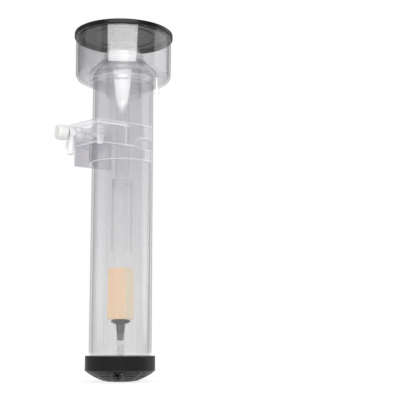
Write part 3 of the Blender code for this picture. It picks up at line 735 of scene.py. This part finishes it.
def make_neck(paint):
    """The neck with shallow bands round it and a conical top, and the grooved ring at the cup's floor."""
    low, high = box("riser_neck")
    outer = high.x
    bands = []
    for i in range(BANDS):
        z = BAND_BOTTOM + BAND_PITCH * i
        bands += [(outer, z), (outer - BAND_DEPTH, z + 0.5), (outer - BAND_DEPTH, z + 1.7), (outer, z + 2.2)]
    outline = [(outer - NECK_WALL, low.z), (outer - 0.3, low.z), (outer, low.z + 3.0)] + bands
    outline += [(outer, NECK_CONE), (NECK_TOP_R, high.z - 0.4), (NECK_TOP_R - 0.4, high.z),
                (NECK_TOP_R - NECK_WALL, high.z), (outer - NECK_WALL, NECK_CONE)]
    neck = finish("riser_neck_fine", revolve(rounded(outline, 0.5), ROUND_LARGE), paint["neck"], "cup",
                  ["riser_neck"])
    even_normals(neck)

    low, high = box("neck_ring")
    bore, rim = outer + GAP, high.x
    groove = zip((rim, rim - RING_GROOVE_DEPTH, rim - RING_GROOVE_DEPTH, rim), RING_GROOVE)
    outline = [(bore, low.z), (rim, low.z), *groove, (rim, RING_SHOULDER), (bore, high.z)]
    ring = finish("neck_ring_fine", revolve(rounded(outline, 0.3), ROUND_LARGE), paint["neck"], "cup",
                  ["neck_ring"])
    even_normals(ring)


def make_cup(paint):
    """The cup, from its rim down the outside, up the raised floor round the neck, and back up the inside."""
    low, high = box("cup_shell")
    top_r, hole = high.x, box("riser_neck")[1].x + GAP
    socket_r, socket_top = box("main_tube")[1].x + TUBE_CLEARANCE, box("main_tube")[1].z + 0.5
    corner_at = (CUP_LOW_R - CUP_CORNER_R, CUP_BOTTOM + CUP_CORNER_R)
    outline = [(top_r, high.z)] + arc(CUP_CORNER_R, 0, -90, 10, corner_at)
    outline += [(SKIRT_R, CUP_BOTTOM), (SKIRT_R, low.z), (socket_r, low.z), (socket_r, socket_top),
                (TUBE_BORE_R + 0.2, socket_top)]
    outline += [(22.6, 254.2), (19.6, 257.4), (17.3, 260.2), (hole, 261.6)]
    outline += [(hole, 263.8), (16.5, 263.5), (18.8, 262.0), (21.2, 259.4), (24.0, 256.8), (27.0, 254.4),
                (28.4, 251.6), (29.2, CUP_BOTTOM + CUP_WALL)]
    outline += arc(CUP_CORNER_R - CUP_WALL, -90, 0, 8, corner_at) + [(top_r - CUP_WALL, high.z)]
    cup = finish("cup_shell_fine", revolve(rounded(outline, 0.7, 3, 12), ROUND_LARGE), paint["cup"], "cup",
                 ["cup_shell"])
    drain = middle("drain_nipple")
    start, end = (drain.x, drain.y, CUP_BOTTOM - 1), (drain.x, drain.y, CUP_BOTTOM + 8)
    hole = rod(DRAIN_BORE_R, start, end, ROUND_BORE)
    combine(cup, "DIFFERENCE", finish("drain_hole", hole))
    even_normals(cup)

    low, high = box("drain_nipple")
    bead = (high.x - low.x) / 2
    outline = [(DRAIN_BORE_R, low.z + 0.6), (1.9, low.z), (2.2, low.z + 0.2), (DRAIN_R, low.z + 1.2),
               (DRAIN_R, high.z - 1.4), (bead, high.z - 1.0), (bead, high.z), (DRAIN_BORE_R, high.z)]
    mesh = revolve(rounded(outline, 0.25), ROUND_SMALL)
    nipple = finish("drain_nipple_fine", mesh, paint["soft"], "cup", ["drain_nipple"],
                    Matrix.Translation((drain.x, drain.y, 0)))
    even_normals(nipple)


def make_lid(paint):
    """A shallow dished lid with a skirt, and under it a seat ring and a small bead."""
    low, high = box("lid")
    outer, inner, skirt = high.x, high.x - LID_SKIRT_WALL, low.z + LID_SKIRT_GAP
    dish, bead = high.z - LID_DISH, LID_UNDER - LID_BEAD
    outline = [(0, dish), (LID_RIM_R[0], dish), (LID_RIM_R[1], high.z), (outer, high.z), (outer, skirt)]
    outline += [(inner, skirt), (inner, LID_UNDER), (LID_SEAT_R[1], LID_UNDER),
                (LID_SEAT_R[1], LID_SEAT_BOTTOM), (LID_SEAT_R[0], LID_SEAT_BOTTOM), (LID_SEAT_R[0], LID_UNDER)]
    outline += [(LID_BEAD_R[1], LID_UNDER), (LID_BEAD_R[1], bead), (LID_BEAD_R[0], bead),
                (LID_BEAD_R[0], LID_UNDER), (0, LID_UNDER)]
    lid = finish("lid_fine", revolve(rounded(outline, 0.7, 4), ROUND_LARGE), paint["lid"], "lid",
                 ["lid"])
    even_normals(lid)


# ---------------------------------------------------------------- hanger and valve

CLIP_LINE_R = 26.3
CLIP_WALL = 2.0
CLIP_ENDS_DEG = (84.0, 302.0)
PLATE_WALL = 1.9
BACK_PLATE_X = (1.0, -30.6)
BOX_CORNER = (-35.5, -26.28)
BOX_BACK = (-44.4, 10.8)
BOX_JOIN_X = -24.2
BOX_BOTTOM = 186.2
LIP_WALL = 3.6
LIP_HEIGHT = 2.9
CLIP_SLOT_R = 4.25
CLIP_SLOT_Z = 189.2
CLIP_SLOT_DEG = -84.0
CLIP_SLOT_PAST_DEG = 8
BOSS_R = 5.5
BOSS_BORE_R = 2.95
DUCT_R = 2.6


def make_hanger(paint):
    """The clip, the back plate and the box's walls with their lip, at heights that differ by a hair so
    that no two joined faces lie in one plane."""
    low, high = box("hanger")
    clip = prism(strip(arc(CLIP_LINE_R, *CLIP_ENDS_DEG, 84), CLIP_WALL), low.z, high.z)
    hanger = finish("hanger_fine", clip, paint["hanger"], "hanger", ["hanger"])
    back = [(x, -BOX_CORNER[1]) for x in BACK_PLATE_X]
    plate = prism(strip(back, PLATE_WALL), low.z + 0.01, high.z - 0.03)
    combine(hanger, "UNION", finish("hanger_back_plate", plate))
    join = (BOX_JOIN_X, BOX_BACK[1])
    walls = prism(strip([(-1.0, BOX_CORNER[1]), BOX_CORNER, BOX_BACK, join], PLATE_WALL), BOX_BOTTOM,
                  high.z - 0.01)
    combine(hanger, "UNION", finish("hanger_walls", walls))
    lip = prism(strip([(-8.0, BOX_CORNER[1]), BOX_CORNER, BOX_BACK, join], LIP_WALL), high.z - LIP_HEIGHT,
                high.z - 0.02)
    combine(hanger, "UNION", finish("hanger_lip", lip))
    valve = middle("valve_bonnet")
    hole = rod(BOSS_R + GAP, (BOX_BACK[0] - 4, valve.y, valve.z), (-36.0, valve.y, valve.z), ROUND_MEDIUM)
    combine(hanger, "DIFFERENCE", finish("hanger_valve_hole", hole))
    combine(hanger, "DIFFERENCE", finish("hanger_slot", clip_slot()))
    even_normals(hanger)


def clip_slot():
    """The clip's open-ended slot, a rounded outline wrapped round the tube."""
    nose = [(CLIP_SLOT_R * cos(radians(a)), CLIP_SLOT_R * sin(radians(a))) for a in range(90, 271, 10)]
    reach = CLIP_LINE_R * radians(CLIP_ENDS_DEG[1] - 360 - CLIP_SLOT_DEG + CLIP_SLOT_PAST_DEG)
    outline = [(reach, CLIP_SLOT_R)] + nose + [(reach, -CLIP_SLOT_R)]
    mesh = bmesh.new()
    walls = []
    for radius in (CLIP_LINE_R - 2.6, CLIP_LINE_R + 4.5):
        turned = [(radians(CLIP_SLOT_DEG) + along / CLIP_LINE_R, up) for along, up in outline]
        points = [(radius * cos(a), radius * sin(a), CLIP_SLOT_Z + up) for a, up in turned]
        walls.append([mesh.verts.new(point) for point in points])
    inner, outer = walls
    mesh.faces.new(inner)
    mesh.faces.new(outer)
    for i, _ in enumerate(outline):
        j = (i + 1) % len(outline)
        mesh.faces.new([inner[i], inner[j], outer[j], outer[i]])
    bmesh.ops.triangulate(mesh, faces=mesh.faces)
    return mesh


def make_valve_socket(paint):
    """The boss in the side plate, its duct and the nipple that the inner hose pushes onto."""
    valve, column = middle("valve_bonnet"), middle("hanger_nipple")
    low = box("valve_socket")[0]
    y, z = valve.y, valve.z
    start, end = (low.x, y, z), (-29.6, y, z)
    socket = finish("valve_socket_fine", rod(BOSS_R, start, end, ROUND_MEDIUM, 0.4), paint["neck"], "hanger",
                    ["valve_socket"])
    top = Vector((column.x, column.y, z))
    combine(socket, "UNION", finish("duct", rod(DUCT_R, (-33.5, y, z), top)))
    nipple_r = (box("hanger_nipple")[1].x - box("hanger_nipple")[0].x) / 2
    reach = Vector((0, 0, 3.4))
    collar = rod(nipple_r + GAP + 1.1, top - reach, top + reach, ROUND_SMALL, 0.3)
    combine(socket, "UNION", finish("duct_collar", collar))
    combine(socket, "DIFFERENCE", finish("boss_bore", rod(BOSS_BORE_R, (low.x - 2, y, z), (-31.1, y, z))))
    combine(socket, "DIFFERENCE", finish("duct_bore", rod(AIR_BORE_R, (-32.9, y, z), top, ROUND_BORE)))
    seat = rod(nipple_r + GAP, top - 2 * reach, top + 2 * reach)
    combine(socket, "DIFFERENCE", finish("column_bore", seat))
    even_normals(socket)

    low, high = box("hanger_nipple")
    outline = [(1.5, low.z), (nipple_r - 0.3, low.z), (nipple_r, low.z + 0.6), (nipple_r, high.z - 0.8),
               (nipple_r - 0.8, high.z), (0, high.z), (0, high.z - 1.6), (1.5, high.z - 1.6)]
    nipple = finish("hanger_nipple_fine", revolve(rounded(outline, 0.3), ROUND_SMALL), paint["nipple"],
                    "hanger", ["hanger_nipple"], Matrix.Translation((column.x, column.y, 0)))
    even_normals(nipple)


def along_x(node):
    """Puts a shape turned about Z on the valve's axis, with heights measured along +X."""
    centre = middle(node)
    return Matrix.Translation((0, centre.y, centre.z)) @ Matrix.Rotation(radians(90), 4, "Y")


def make_valve(paint):
    """The valve's T body, gasket, threaded bonnet, needle and knob."""
    place = along_x("valve_bonnet")
    low, high = box("valve_body")
    centre = middle("valve_bonnet")
    body_r, shoulder, inlet_x, inlet_r = 4.0, -44.2, -46.9, 2.45
    outline = [(1.7, low.x), (body_r, low.x), (body_r, shoulder - 0.6), (body_r - 0.9, shoulder),
               (2.6, shoulder), (2.15, high.x - 0.3), (1.8, high.x), (AIR_BORE_R, high.x),
               (AIR_BORE_R, shoulder - 0.8), (1.7, shoulder - 0.8)]
    body = finish("valve_body_fine", revolve(rounded(outline, 0.35), ROUND_MEDIUM), paint["milky"], "valve",
                  ["valve_body"], place)
    inlet = rod(inlet_r, (inlet_x, centre.y, centre.z - 2.3), (inlet_x, centre.y, low.z), ROUND_SMALL, 0.4)
    combine(body, "UNION", finish("inlet", inlet))
    bore = rod(1.3, (inlet_x, centre.y, centre.z - 1.0), (inlet_x, centre.y, low.z - 2), ROUND_BORE)
    combine(body, "DIFFERENCE", finish("inlet_bore", bore))
    even_normals(body)

    low, high = box("valve_gasket")
    gasket = revolve(rounded(pipe_outline(3.9, 1.9, low.x, high.x), 0.15, 2), ROUND_MEDIUM)
    even_normals(finish("valve_gasket_fine", gasket, paint["grey"], "valve", ["valve_gasket"],
                        place))

    low, high = box("valve_bonnet")
    radius, pitch = high.y - centre.y, 0.8
    threads = []
    for i in range(5):
        x = low.x + 0.7 + i * pitch
        threads += [(radius - 0.28, x), (radius, x + 0.25), (radius, x + 0.4), (radius - 0.28, x + 0.65)]
    outline = [(1.4, low.x), (radius - 0.4, low.x)] + threads
    outline += [(radius, high.x - 0.8), (radius, high.x), (1.4, high.x)]
    bonnet = revolve(rounded(outline, 0.1, 2), ROUND_MEDIUM)
    even_normals(finish("valve_bonnet_fine", bonnet, paint["inner"], "valve",
                        ["valve_bonnet"], place))

    low, high = box("valve_needle")
    stem, head = 1.1, box("valve_bonnet")[0].x - GAP
    outline = [(0, low.x), (2.8, low.x), (2.8, head), (stem, head), (stem, high.x - 1.5), (0.3, high.x),
               (0, high.x)]
    needle = revolve(rounded(outline, 0.2, 2), ROUND_SMALL)
    even_normals(finish("valve_needle_fine", needle, paint["milky"], "needle",
                        ["valve_needle"], place))
    make_knob(paint, place)


def make_knob(paint, place):
    """A soft-cornered cap with a dished face, rings round its nose and fine grip flutes."""
    low, high = box("valve_knob")
    radius, bore, nose = high.y - middle("valve_knob").y, 4.35, 2.2
    corner = [(radius - nose + nose * sin(radians(a)), low.x + nose - nose * cos(radians(a)))
              for a in range(0, 91, 10)]
    grooves = []
    for point, after in zip(corner, corner[1:]):
        grooves += [point, ((point[0] + after[0]) / 2 - 0.05, (point[1] + after[1]) / 2 + 0.05)]
    outline = [(0, low.x + 0.5), (2.2, low.x + 0.5), (2.9, low.x + 0.1), (3.5, low.x)] + grooves
    outline += [corner[-1], (radius, high.x - 1.8), (radius - 0.9, high.x), (bore, high.x),
                (bore, low.x + 1.5), (0, low.x + 1.5)]
    mesh = revolve(rounded(outline, 0.3, 3), ROUND_LARGE)
    flute(mesh, radius, 36, 0.10)
    even_normals(finish("valve_knob_fine", mesh, paint["white"], "knob", ["valve_knob"], place))


def flute(mesh, radius, count, depth):
    """Presses shallow flutes into the outermost surface."""
    for vertex in mesh.verts:
        away = vertex.co.xy.length
        share = max(0.0, min(1.0, (away - radius + 0.6) / 0.5))
        if share:
            turn = Vector((1, 0)).angle_signed(vertex.co.xy)
            vertex.co.xy *= 1 - share * depth * (0.5 + 0.5 * cos(count * turn)) / away


# ---------------------------------------------------------------- studio

CAMERA_AZIMUTH = -33.0
CAMERA_DISTANCE = 0.743
CAMERA_SIDE = 0.0682
CAMERA_HEIGHT = 0.029
CAMERA_TILT = 7.73
CAMERA_PAN = 0.334
LENS = 82.72
SHIFT = 0.05
FLOOR_R = 2600.0
FLOOR_SIDES = 96
FLOOR_BOTTOM = -4.0
FLOOR_TOP = -0.05


def make_camera():
    turn = radians(CAMERA_AZIMUTH)
    right, away = Vector((cos(turn), sin(turn), 0)), Vector((-sin(turn), cos(turn), 0))
    data = bpy.data.cameras.new("camera")
    data.lens = LENS
    data.sensor_width = 36.0
    data.shift_y = SHIFT
    data.clip_start = 0.01
    camera = bpy.data.objects.new("camera", data)
    camera.location = right * CAMERA_SIDE - away * CAMERA_DISTANCE + Vector((0, 0, CAMERA_HEIGHT))
    camera.rotation_euler = (radians(90 + CAMERA_TILT), 0, radians(CAMERA_AZIMUTH + CAMERA_PAN))
    bpy.context.scene.collection.objects.link(camera)
    bpy.context.scene.camera = camera


def softbox(name, azimuth, elevation, distance, width, height, radiance, target=(0, 0, 0.2)):
    """An oval light that faces the target. Azimuth 0 is on the -Y side, and 90 on the +X side."""
    a, e = radians(azimuth), radians(elevation)
    back = Vector((sin(a) * cos(e), -cos(a) * cos(e), sin(e)))
    data = bpy.data.lights.new(name, "AREA")
    data.shape = "ELLIPSE"
    data.size, data.size_y = width, height
    data.energy = radiance * pi * width * height * pi / 4
    light = bpy.data.objects.new(name, data)
    light.location = Vector(target) + back * distance
    light.rotation_mode = "QUATERNION"
    light.rotation_quaternion = back.to_track_quat("Z", "Y")
    light.visible_camera = False
    bpy.context.scene.collection.objects.link(light)


def make_world():
    """White behind the object; as light, a soft room, brighter above, on the right and in front."""
    world = bpy.data.worlds.new("studio")
    bpy.context.scene.world = world
    world.use_nodes = True
    tree = world.node_tree
    tree.nodes.clear()

    def node(kind, **inputs):
        made = tree.nodes.new("ShaderNode" + kind)
        for key, value in inputs.items():
            socket = made.inputs[int(key[1:])] if key[0] == "i" and key[1:].isdigit() else made.inputs[key]
            if isinstance(value, bpy.types.NodeSocket):
                tree.links.new(value, socket)
            else:
                socket.default_value = value
        return made

    direction = node("TexCoord").outputs["Generated"]
    side = radians(CAMERA_AZIMUTH)
    right = node("VectorMath", i0=direction, i1=(cos(side), sin(side), 0.0))
    right.operation = "DOT_PRODUCT"
    height = node("SeparateXYZ", i0=direction).outputs["Z"]
    across = node("MapRange", Value=right.outputs["Value"], i1=-1.0, i2=1.0, i3=0.32, i4=0.38).outputs[0]
    up = node("MapRange", Value=height, i1=-0.2, i2=1.0, i3=0.75, i4=1.35).outputs[0]
    front = node("VectorMath", i0=direction, i1=(sin(side), -cos(side), 0.0))
    front.operation = "DOT_PRODUCT"
    fill = node("MapRange", Value=front.outputs["Value"], i1=0.2, i2=1.0, i3=1.0, i4=2.2).outputs[0]
    strength = node("Math", i0=across, i1=up)
    strength.operation = "MULTIPLY"
    strength = node("Math", i0=strength.outputs[0], i1=fill)
    strength.operation = "MULTIPLY"
    room = node("Background", Color=(1.0, 1.0, 1.0, 1.0), Strength=strength.outputs[0]).outputs[0]
    white = node("Background", Color=(1.0, 1.0, 1.0, 1.0), Strength=1.0).outputs[0]
    seen = node("LightPath").outputs["Is Camera Ray"]
    both = node("MixShader", i0=seen, i1=room, i2=white).outputs[0]
    node("OutputWorld", Surface=both)


def make_floor():
    """A plain pale floor, level with the foot, as bright as the white behind it from near to far."""
    s = Shader("floor_look")
    cloud = s.noise(0.004, detail=3.0)
    tone = s.mix(cloud, (0.215, 0.215, 0.215), (0.225, 0.225, 0.225))
    away = s.node("VectorMath", {0: s.place()}, operation="LENGTH").outputs["Value"]
    surface = s.node("BsdfPrincipled", {"Base Color": tone, "Roughness": 0.75, "Specular IOR Level": 0.2,
                                        "Emission Color": (1.0, 1.0, 1.0, 1.0),
                                        "Emission Strength": s.span(away, 200.0, 1800.0, 0.77, 0.91)})
    plan = arc(FLOOR_R, 0, 360 - 360 / FLOOR_SIDES, FLOOR_SIDES - 1)
    mesh = prism(plan, FLOOR_BOTTOM, FLOOR_TOP)
    data = bpy.data.meshes.new("floor")
    mesh.transform(Matrix.Scale(METRE, 4))
    bmesh.ops.recalc_face_normals(mesh, faces=mesh.faces)
    mesh.to_mesh(data)
    mesh.free()
    data.materials.append(s.end(surface.outputs[0]))
    floor = bpy.data.objects.new("floor", data)
    bpy.context.scene.collection.objects.link(floor)


def make_studio():
    make_world()
    make_floor()
    softbox("front_box", CAMERA_AZIMUTH + 2, 24, 1.1, 1.48, 0.44, 5.8, (0, 0, 0.25))
    softbox("top_box", CAMERA_AZIMUTH + 180, 50, 1.3, 1.2, 0.9, 2.0)
    softbox("left_box", CAMERA_AZIMUTH - 75, 15, 1.0, 0.9, 0.9, 0.6)
    softbox("right_box", CAMERA_AZIMUTH + 110, 15, 1.0, 0.9, 0.9, 1.5)
    make_camera()
    scene = bpy.context.scene
    scene.view_settings.view_transform = "Standard"
    scene.cycles.transparent_max_bounces = 64


def main():
    """Every group of pieces in turn, then the studio."""
    paint = make_paints()
    make_base(paint)
    make_air_line(paint)
    make_air_stone(paint)
    make_tubes(paint)
    make_spider(paint)
    make_neck(paint)
    make_cup(paint)
    make_lid(paint)
    make_hanger(paint)
    make_valve_socket(paint)
    make_valve(paint)
    make_studio()


main()
